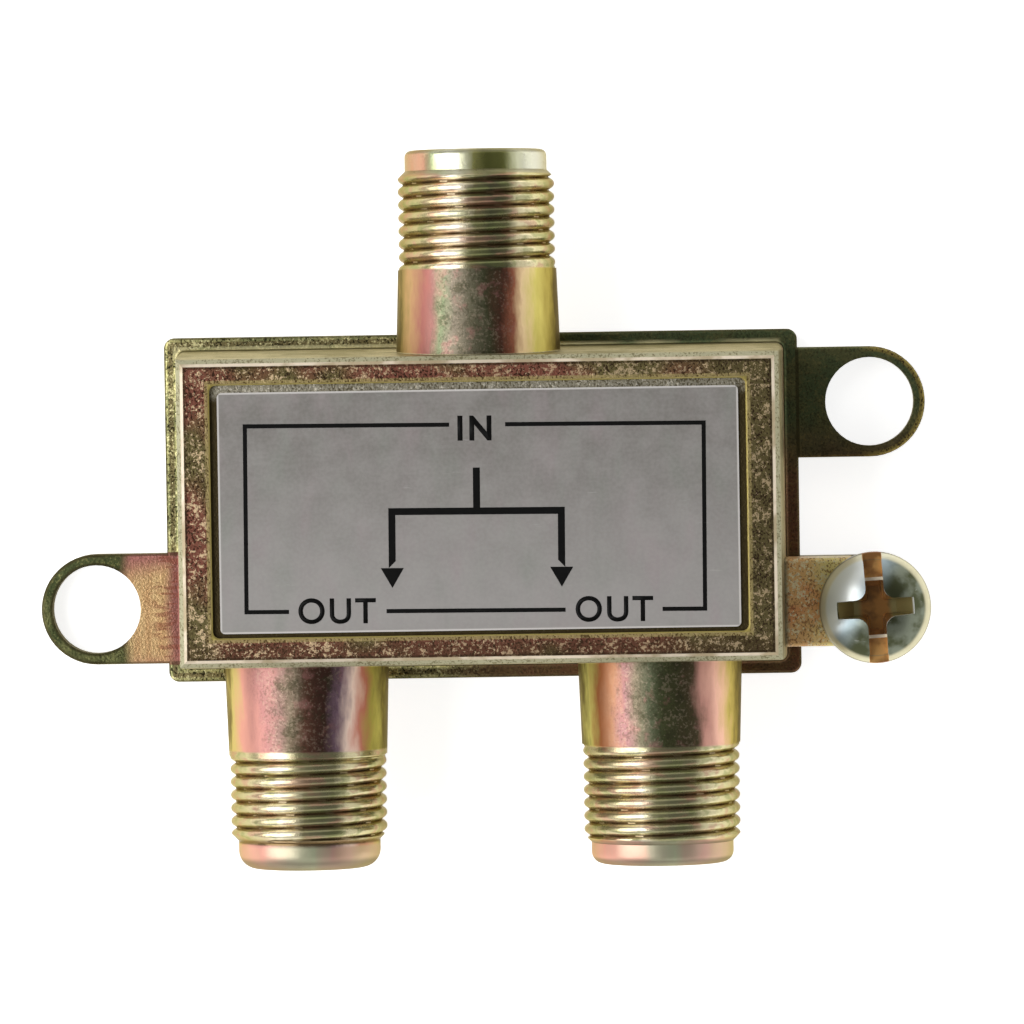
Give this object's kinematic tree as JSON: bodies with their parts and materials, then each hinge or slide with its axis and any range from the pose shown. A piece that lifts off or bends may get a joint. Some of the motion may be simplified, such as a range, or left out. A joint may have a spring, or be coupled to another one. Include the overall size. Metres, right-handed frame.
{
  "type": "coaxial splitter",
  "caption": "Two-way coaxial splitter: a die-cast box with threaded ports on two sides, a grey label, diagonal screw ears and a ground lug with its screw.",
  "frame": {"origin": "centre of the flat back face", "axes": "+Z the way the label faces, +Y the way the input port points, +X to the right when the label is read"},
  "size_m": [0.0546, 0.0434, 0.0132],
  "materials": {
    "casting": "cast zinc, yellow chromated",
    "cover_steel": "tinned sheet steel",
    "label_foil": "satin grey foil",
    "label_ink": "black print on the label",
    "screw_steel": "nickel plated steel",
    "insulator_plastic": "white polyethylene",
    "contact_bronze": "sprung bronze",
    "board_laminate": "brown paper laminate",
    "ferrite": "dark ferrite",
    "copper_wire": "enamelled copper",
    "resistor_coat": "beige lacquer",
    "capacitor_coat": "orange-brown dipped coating",
    "solder": "tin solder"
  },
  "bodies": {
    "splitter": {"housing": "casting", "back_cover": "cover_steel", "label": "label_foil", "input_insulator": "insulator_plastic", "left_output_insulator": "insulator_plastic", "right_output_insulator": "insulator_plastic", "input_contact": "contact_bronze", "left_output_contact": "contact_bronze", "right_output_contact": "contact_bronze", "circuit_board": "board_laminate", "matching_core": "ferrite", "matching_winding": "copper_wire", "splitting_core": "ferrite", "splitting_winding": "copper_wire", "isolation_resistor": "resistor_coat", "input_capacitor": "capacitor_coat", "left_output_capacitor": "capacitor_coat", "right_output_capacitor": "capacitor_coat", "solder_joints": "solder"},
    "ground_screw": {"ground_screw": "screw_steel"}
  },
  "joints": [
    {"name": "ground_screw_travel", "type": "slide", "parent": "splitter", "child": "ground_screw", "axis": [0, 0, 1], "range_m": [0, 0.0032]}
  ]
}
